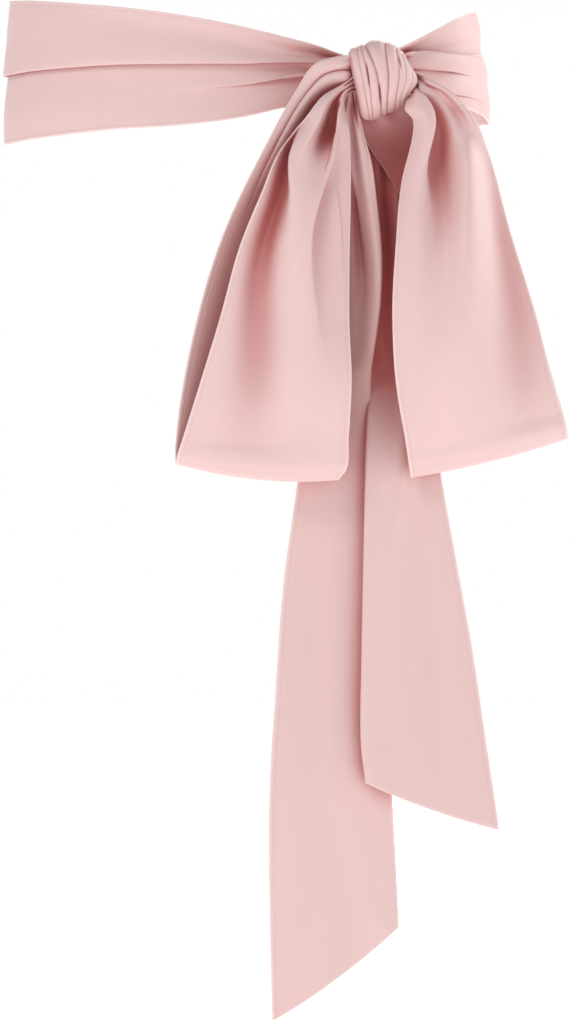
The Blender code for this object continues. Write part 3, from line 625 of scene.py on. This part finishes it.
def turned_under(name, across, places, chord):
    """Place across the front, depth behind it and share turned under, for a strip with a fold.

    The strip runs straight to the fold, round a half circle and straight back. Its run
    is the front less a radius, half a circle, and the part turned under less a radius.
    """
    across = across[:, None] * np.ones((1, len(places)))
    if name not in TURNED_UNDER:
        return across, np.zeros_like(across), np.zeros_like(across)
    (under,) = along_stations(TURNED_UNDER[name], places)
    from_left = name == "right_tail"
    run = (1 - across if from_left else across) * (chord + under + (math.pi - 2) * FOLD_RADIUS)
    straight = chord - FOLD_RADIUS
    turn = np.clip((run - straight) / FOLD_RADIUS, 0, math.pi)
    past = np.maximum(run - straight - math.pi * FOLD_RADIUS, 0)
    place = (np.minimum(run, straight) + FOLD_RADIUS * np.sin(turn) - past) / chord
    behind = FOLD_RADIUS * (1 - np.cos(turn))
    return (1 - place if from_left else place), behind, np.where(turn > math.pi / 2, 1 - place, 0)


def bow_cloth(name, table, across, places):
    """Strip of the bow: straight from edge to edge, then bulged, sagged, swelled and lapped.

    A part turned under lies behind the front and keeps the line that its section would
    have had laid flat. The whole bow is turned, so depth grows with x as the waist does.
    """
    rows = np.asarray(table, float)
    middle = (rows[:, 0:3] + rows[:, 3:6]) / 2
    rows = through_rows(rows, np.linalg.norm(np.diff(middle, axis=0), axis=1), places)
    left, right = rows[None, :, 0:3], rows[None, :, 3:6]
    chord = np.linalg.norm(right - left, axis=2)
    side = (right - left) / chord[..., None]
    across, behind, under = turned_under(name, across, places, chord[0])
    points = left + (right - left) * across[..., None]
    rising = np.abs(right[..., 2] - left[..., 2])
    points[..., 2] += 2 * rising * under
    hump = 4 * across * (1 - across)
    rise = swell_field(name, across, places)
    slide, step = lap_fields(name, across, places)
    points += slide[..., None] * side
    points[..., 1] -= rows[None, :, 6] * hump + rise + step - behind
    points[..., 2] -= rows[None, :, 7] * hump
    points[..., 1] += BOW_TURN * (points[..., 0] - KNOT_X)
    return points, rise + step, np.zeros_like(points) - (0, 1, 0)


def bent(top, middle, bottom, height):
    """Parabola in height through three values: at 1, 0 and -1."""
    return middle + (top - bottom) / 2 * height + ((top + bottom) / 2 - middle) * height**2


def knot_cloth(turns, places):
    """Wound cloth of the knot: rounded sections along x, rolled between creases.

    A section is a rounded box: cosine and sine of the turn, each to the power of 2 over
    the squareness. A roll between two creases is half an oval: the square root of 1
    less a power of the share across it. Creases lean and bend with height.
    """
    table = np.array(KNOT)
    rows = through_rows(table, np.linalg.norm(np.diff(table, axis=0), axis=1), places)
    x, lean, swell, top, bottom, front, back = (rows[None, :, k] for k in range(7))
    cos, sin = np.cos(turns)[:, None], np.sin(turns)[:, None]
    power = 2 / KNOT_SQUARENESS
    depth = np.sign(cos) * np.abs(cos) ** power
    height = np.sign(sin) * np.abs(sin) ** power
    relief = np.zeros((len(turns), len(places)))
    for this, after in zip(KNOT_CREASES[:-1], KNOT_CREASES[1:]):
        start, end = bent(*this[:3], sin), bent(*after[:3], sin)
        share = (places[None, :] - start) / (end - start)
        oval = np.sqrt(np.clip(1 - np.abs(2 * share - 1) ** ROLL_SQUARENESS, 0, 1))
        relief += this[3] * (oval - ROLL_SUNK) * ((share >= 0) & (share < 1))
    for place_1, place_0, place_2, low, high, half, deep in KNOT_SLITS:
        centre = bent(place_1, place_0, place_2, sin)
        reach = np.clip((sin - low) / SLIT_FADE, 0, 1) * np.clip((high - sin) / SLIT_FADE, 0, 1)
        relief -= deep * reach * np.exp(-(((places[None, :] - centre) / half) ** 2))
    relief *= np.clip(np.minimum(places, places[-1] - places) / LIP_FADE, 0, 1)[None, :]
    half_depth, half_height = (back - front) / 2, (top - bottom) / 2
    y = (front + back) / 2 - (half_depth + relief * (depth > 0)) * depth
    z = (top + bottom) / 2 + (half_height - KNOT_INSET + relief * ROLL_UPWARD_SHARE) * height
    x = x - lean * height + swell * (1 - height**2) ** 2
    y = y + BOW_TURN * (x - KNOT_X)
    raised = np.stack([0 * x, -depth + 0 * x, height + 0 * x], axis=-1)
    return np.stack([x, y, z], axis=-1), relief, raised


def unit(vectors):
    """Vectors made one long."""
    return vectors / np.maximum(np.linalg.norm(vectors, axis=-1, keepdims=True), 1e-9)


def wall_of_cloth(name, points, relief, raised, closed, width, length):
    """Closed mesh of one stretch: its middle surface moved out to each side, with round edges.

    The two sides lie half the thickness along the surface's normal, the cross product of
    its two tangents, and the rim is a half circle swept round the border. Raised is the
    way in which relief rises, so the other side is told the opposite of it, and the rim
    what lies between. Facts are map along, map over, relief and distance from the edge.
    """
    ahead = np.gradient(points, axis=1)
    if closed:
        beside = (np.roll(points, -1, axis=0) - np.roll(points, 1, axis=0)) / 2
    else:
        beside = np.gradient(points, axis=0)
    normal = unit(np.cross(beside, ahead))
    outward = np.zeros_like(points)
    outward[:, 0] -= unit(ahead[:, 0])
    outward[:, -1] += unit(ahead[:, -1])
    wide, long = points.shape[:2]
    corner = np.arange(wide * long).reshape(wide, long)
    if closed:
        borders = [corner[::-1, 0], corner[:, -1]]
        corner = np.vstack([corner, corner[:1]])
    else:
        outward[0] -= unit(beside[0])
        outward[-1] += unit(beside[-1])
        sides = [corner[0, :-1], corner[:-1, -1], corner[-1, :0:-1], corner[:0:-1, 0]]
        borders = [np.concatenate(sides)]
    outward = unit(outward).reshape(-1, 3)
    flat, normal = points.reshape(-1, 3), normal.reshape(-1, 3)
    share = np.linspace(0, 1, wide)[:, None] * np.ones(long)
    run = np.linspace(0, 1, long)[None, :] * np.ones((wide, 1))
    from_edge = np.minimum(share, 1 - share) * width
    if closed:
        from_edge = np.minimum(run, 1 - run) * length
    facts = np.stack([run * length, share * width, relief, from_edge], axis=-1).reshape(-1, 4)
    half = CLOTH_THICKNESS / 2
    front = np.stack([corner[:-1, :-1], corner[1:, :-1], corner[1:, 1:], corner[:-1, 1:]], axis=-1)
    front = front.reshape(-1, 4)
    count = wide * long
    facts[:, 2] *= np.sign(np.sum(normal * raised.reshape(-1, 3), axis=1))
    places, data = [flat + normal * half, flat - normal * half], [facts, facts * (1, 1, -1, 1)]
    faces, used = [front, front[:, ::-1] + count], 2 * count
    for border in borders:
        rings = [border]
        for step in range(1, RIM_STEPS):
            angle = math.pi / 2 - math.pi * step / RIM_STEPS
            push = outward[border] * math.cos(angle) + normal[border] * math.sin(angle)
            places.append(flat[border] + push * half)
            # The rim is told it lies at the edge, where the material paints its highlight
            data.append(facts[border] * (1, 1, math.sin(angle), 0))
            rings.append(used + np.arange(len(border)))
            used += len(border)
        rings.append(border + count)
        for near, far in zip(rings[:-1], rings[1:]):
            faces.append(np.stack([near, np.roll(near, -1), np.roll(far, -1), far], axis=-1))
    vertices, facts = np.concatenate(places) * MM, np.concatenate(data)
    faces = np.concatenate(faces)
    mesh = bpy.data.meshes.new(name)
    mesh.vertices.add(len(vertices))
    mesh.vertices.foreach_set("co", vertices.ravel())
    mesh.loops.add(faces.size)
    mesh.loops.foreach_set("vertex_index", faces.ravel())
    mesh.polygons.add(len(faces))
    mesh.polygons.foreach_set("loop_start", np.arange(len(faces)) * 4)
    mesh.update(calc_edges=True)
    mesh.validate()
    mesh.shade_smooth()
    cloth_map = mesh.uv_layers.new(name="cloth_map")
    cloth_map.data.foreach_set("uv", (facts[faces.ravel(), :2] * MM).ravel())
    # The material reads relief to paint shade into hollows, and the distance from the edge to place
    # the seam and to paint a highlight on the rim
    for column, label in ((2, "relief"), (3, "from_edge")):
        values = mesh.attributes.new(label, "FLOAT", "POINT")
        values.data.foreach_set("value", facts[:, column])
    piece = bpy.data.objects.new(name, mesh)
    bpy.context.scene.collection.objects.link(piece)
    return piece


class Socket:
    """A shader socket whose sums are written as sums; each adds its Math node."""

    def __init__(self, shop, link):
        self.shop = shop
        self.link = link

    def sum_of(self, operation, first, second):
        """A Math node of two values."""
        return self.shop.add("ShaderNodeMath", {"operation": operation}, {0: first, 1: second})

    def __add__(self, other):
        return self.sum_of("ADD", self, other)

    def __radd__(self, other):
        return self.sum_of("ADD", other, self)

    def __sub__(self, other):
        return self.sum_of("SUBTRACT", self, other)

    def __rsub__(self, other):
        return self.sum_of("SUBTRACT", other, self)

    def __mul__(self, other):
        return self.sum_of("MULTIPLY", self, other)

    def __truediv__(self, other):
        return self.sum_of("DIVIDE", self, other)

    def __neg__(self):
        return self.sum_of("MULTIPLY", self, -1.0)


class Dyer:
    """Adds nodes to one material."""

    def __init__(self, name):
        self.material = bpy.data.materials.new(name)
        self.material.use_nodes = True
        self.nodes = self.material.node_tree.nodes
        self.links = self.material.node_tree.links
        self.shader = self.nodes["Principled BSDF"]

    def add(self, kind, settings=None, inputs=None, output=0):
        """A node of that type: its settings first, then the values or links of its sockets."""
        node = self.nodes.new(kind)
        for setting, value in (settings or {}).items():
            setattr(node, setting, value)
        for socket, value in (inputs or {}).items():
            self.feed(node.inputs[socket], value)
        return Socket(self, node.outputs[output])

    def feed(self, socket, value):
        """A link or a fixed value into a socket."""
        if isinstance(value, Socket):
            self.links.new(value.link, socket)
        else:
            socket.default_value = value

    def mix(self, share, first, second):
        """Colour between two, by a share from 0 to 1."""
        return self.add("ShaderNodeMix", {"data_type": "RGBA"}, {0: share, 6: first, 7: second}, 2)

    def number(self, attribute):
        """A number stored on the cloth's own points."""
        return self.add("ShaderNodeAttribute", {"attribute_name": attribute}, output="Fac")

    def between(self, value, low, high):
        """0 up to low, 1 from high, and a soft S between."""
        return self.add(
            "ShaderNodeMapRange",
            {"interpolation_type": "SMOOTHSTEP"},
            {"Value": value, "From Min": low, "From Max": high},
        )

    def power(self, value, exponent):
        """A value to the power of another."""
        return self.add("ShaderNodeMath", {"operation": "POWER"}, {0: value, 1: exponent})

    def wave(self, value):
        """Sine of a value."""
        return self.add("ShaderNodeMath", {"operation": "SINE"}, {0: value})

    def noise(self, place, repeats, detail):
        """Soft noise about 0.5, stretched by its own repeats in each direction."""
        stretched = self.add(
            "ShaderNodeVectorMath", {"operation": "MULTIPLY"}, {0: place, 1: repeats}
        )
        inputs = {"Vector": stretched, "Scale": 1.0, "Detail": detail}
        return self.add("ShaderNodeTexNoise", None, inputs)

    def openness(self, reach):
        """How open the room is round a point: 0 closed in, 1 open."""
        settings = {"samples": 8}
        return self.add("ShaderNodeAmbientOcclusion", settings, {"Distance": reach}, "AO")


def opaque(colour):
    """A colour with its alpha, which is 1."""
    return (*colour, 1.0)


def blush_satin():
    """Smooth blush cloth with a fine weave, painted shade in its folds and a painted highlight on
    its edge.

    Hollow is the share of painted shade: deep rose where a point lies deep in a fold, from the
    cloth's own relief, and where it is closed in. Shaded rose is lighter painted shade where it is
    closed in over the far reach. Rolled is the painted highlight, paler on the rim of the rolled
    edge. The seam is a bell across a line near the edge: e to the minus square of offset over
    width. The weave is a product of two sines.
    """
    dye = Dyer("blush_satin")
    cloth_map = dye.add("ShaderNodeUVMap", {"uv_map": "cloth_map"})
    parts = dye.add("ShaderNodeSeparateXYZ", None, {0: cloth_map})
    along, over = parts, Socket(dye, parts.link.node.outputs[1])
    warp = dye.wave(along * (THREADS_PER_METRE * 2 * math.pi))
    weft = dye.wave(over * (THREADS_PER_METRE * 2 * math.pi))
    weave = (warp * weft) * 0.5 + 0.5
    cloudy = dye.noise(cloth_map, CLOUD_REPEATS, 3.0)
    slub = dye.noise(cloth_map, SLUB_REPEATS, 2.0)
    relief = dye.number("relief")
    from_edge = dye.number("from_edge")
    near, far = dye.openness(NEAR_REACH), dye.openness(FAR_REACH)
    # Painted shade: deeper rose where the cloth is closed in and where its relief sinks into a
    # fold; hollow is its share
    occlusion_shade = (1.0 - dye.between(near, 0.1, 0.9)) * 0.3
    occlusion_shade = occlusion_shade + (1.0 - dye.between(far, 0.1, 0.66)) * 0.65
    hollow = dye.between(-relief, 1.0, 12.5) * 0.75 + occlusion_shade
    hollow = dye.add("ShaderNodeMath", {"operation": "MINIMUM"}, {0: hollow, 1: 1.0})
    # Painted highlight: rolled is the share of pale colour on the rim of the rolled edge, fading
    # where painted shade is deep
    rolled = 1.0 - dye.between(from_edge, 0.25, 1.0)
    offset = (from_edge - SEAM_FROM_EDGE) / SEAM_WIDTH
    seam = dye.power(math.e, -(offset * offset))
    # Painted shade: shaded rose where the cloth is closed in over the far reach, then deep rose by
    # the hollow's share
    tint = dye.mix(1.0 - dye.between(far, 0.3, 0.95), opaque(BLUSH), opaque(SHADED_ROSE))
    tint = dye.mix(hollow, tint, opaque(PAINTED_SHADE_ROSE))
    tint = dye.mix(rolled * 0.8 * (1.0 - hollow) * (1.0 - hollow), tint, opaque(PAINTED_EDGE_HIGHLIGHT))
    # The cloth's own tone, not painted shade: random clouding and slubs, the seam's darker line and
    # the weave
    shade = 1.0 - (cloudy - 0.5) * 0.05 - (slub - 0.5) * 0.05 - seam * 0.05 - weave * 0.02
    shade_colour = dye.add("ShaderNodeCombineColor", None, {0: shade, 1: shade, 2: shade})
    tint = dye.add(
        "ShaderNodeMix",
        {"data_type": "RGBA", "blend_type": "MULTIPLY"},
        {0: 1.0, 6: tint, 7: shade_colour},
        2,
    )
    raised = weave * WEAVE_HEIGHT + slub * SLUB_HEIGHT - seam * SEAM_DEPTH
    bump = dye.add("ShaderNodeBump", None, {"Strength": 0.6, "Distance": 1.0, "Height": raised})
    dye.feed(dye.shader.inputs["Base Color"], tint)
    dye.feed(dye.shader.inputs["Roughness"], 0.5 + (slub - 0.5) * 0.12 + hollow * 0.15)
    dye.feed(dye.shader.inputs["Normal"], bump)
    dye.feed(dye.shader.inputs["Specular IOR Level"], 0.4)
    dye.feed(dye.shader.inputs["Sheen Weight"], 0.25)
    dye.feed(dye.shader.inputs["Sheen Roughness"], 0.4)
    dye.feed(dye.shader.inputs["Sheen Tint"], (1.0, 0.86, 0.84, 1.0))
    return dye.material


# What each stretch was cut to: width and length in metres, how it is held, what it rests on
CUTS = {
    "waist_left": ((0.100, 0.272), "stretched", ["waist_right", "waist_back"]),
    "waist_right": ((0.100, 0.126), "stretched", ["waist_left", "waist_back"]),
    "waist_back": ((0.100, 0.329), "stretched", ["waist_left", "waist_right"]),
    "knot": ((0.066, 0.104), "gathered", ["waist_left"]),
    "left_loop": ((0.100, 0.495), "gathered", ["knot"]),
    "right_loop": ((0.100, 0.433), "gathered", ["knot"]),
    "left_tail": ((0.100, 0.480), "hung", ["knot"]),
    "right_tail": ((0.100, 0.382), "hung", ["knot"]),
}
TABLES = {
    "waist_left": (waist_cloth, WAIST_LEFT),
    "waist_right": (waist_cloth, WAIST_RIGHT),
    "waist_back": (waist_cloth, WAIST_BACK),
    "left_loop": (bow_cloth, LEFT_LOOP),
    "right_loop": (bow_cloth, RIGHT_LOOP),
    "left_tail": (bow_cloth, LEFT_TAIL),
    "right_tail": (bow_cloth, RIGHT_TAIL),
}


def sew_sash(satin):
    """Every stretch of the sash, each on its own solid."""
    for name, ((width, length), held, on) in CUTS.items():
        wide, long = GRIDS[name]
        if name == "knot":
            turns = np.arange(wide) * 2 * math.pi / wide
            cloth = knot_cloth(turns, np.linspace(0, len(KNOT) - 1, long + 1))
        else:
            shape, table = TABLES[name]
            across = np.linspace(0, 1, wide + 1)
            cloth = shape(name, table, across, np.linspace(0, len(table) - 1, long + 1))
        piece = wall_of_cloth(name + "_cloth", *cloth, name == "knot", width / MM, length / MM)
        piece.data.materials.append(satin)
        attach(piece, "root")
        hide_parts(name)


def studio_light():
    """Even light of a white studio: bright round the horizon and dimmer overhead."""
    world = bpy.data.worlds.new("studio")
    world.use_nodes = True
    nodes, links = world.node_tree.nodes, world.node_tree.links
    where = nodes.new("ShaderNodeTexCoord")
    parts = nodes.new("ShaderNodeSeparateXYZ")
    overhead = nodes.new("ShaderNodeMapRange")
    overhead.interpolation_type = "SMOOTHSTEP"
    for socket, value in (("From Min", 0.08), ("From Max", 0.35), ("To Min", 1.0), ("To Max", 0.3)):
        overhead.inputs[socket].default_value = value
    links.new(where.outputs["Generated"], parts.inputs[0])
    links.new(parts.outputs["Z"], overhead.inputs["Value"])
    links.new(overhead.outputs[0], nodes["Background"].inputs["Strength"])
    nodes["Background"].inputs["Color"].default_value = (1.0, 1.0, 1.0, 1.0)
    bpy.context.scene.world = world


def studio():
    """White floor that glows a little, soft lamps in front, at the side and behind, and camera."""
    floor_mesh = bpy.data.meshes.new("floor")
    corners = [
        (x * FLOOR_HALF_SIZE, y * FLOOR_HALF_SIZE, FLOOR_LEVEL)
        for x, y in ((-1, -1), (1, -1), (1, 1), (-1, 1))
    ]
    floor_mesh.from_pydata(corners, [], [(0, 1, 2, 3)])
    floor = bpy.data.objects.new("floor", floor_mesh)
    bpy.context.scene.collection.objects.link(floor)
    paper = bpy.data.materials.new("pale_paper")
    paper.use_nodes = True
    for socket, value in (
        ("Base Color", (0.95, 0.95, 0.95, 1.0)),
        ("Roughness", 0.9),
        ("Emission Color", (1.0, 1.0, 1.0, 1.0)),
        ("Emission Strength", FLOOR_GLOW),
    ):
        paper.node_tree.nodes["Principled BSDF"].inputs[socket].default_value = value
    floor_mesh.materials.append(paper)
    for name, place, wide, watts in LAMPS:
        lamp = bpy.data.lights.new(name, "AREA")
        lamp.energy = watts
        lamp.size = wide
        light = bpy.data.objects.new(name, lamp)
        light.location = place
        away = np.array(place) - np.array(LAMPS_FACE)
        light.rotation_euler = (
            math.acos(away[2] / np.linalg.norm(away)),
            0.0,
            math.atan2(away[1], away[0]) + math.pi / 2,
        )
        bpy.context.scene.collection.objects.link(light)
    studio_light()
    bpy.context.scene.view_settings.view_transform = "Standard"
    camera = bpy.data.objects.new("camera", bpy.data.cameras.new("camera"))
    camera.location = CAMERA_PLACE
    camera.rotation_euler = (math.pi / 2, 0.0, 0.0)
    camera.data.sensor_width = CAMERA_SENSOR
    camera.data.lens = CAMERA_LENS
    camera.data.clip_end = CAMERA_SIGHT
    bpy.context.scene.collection.objects.link(camera)
    bpy.context.scene.camera = camera


sew_sash(blush_satin())
studio()
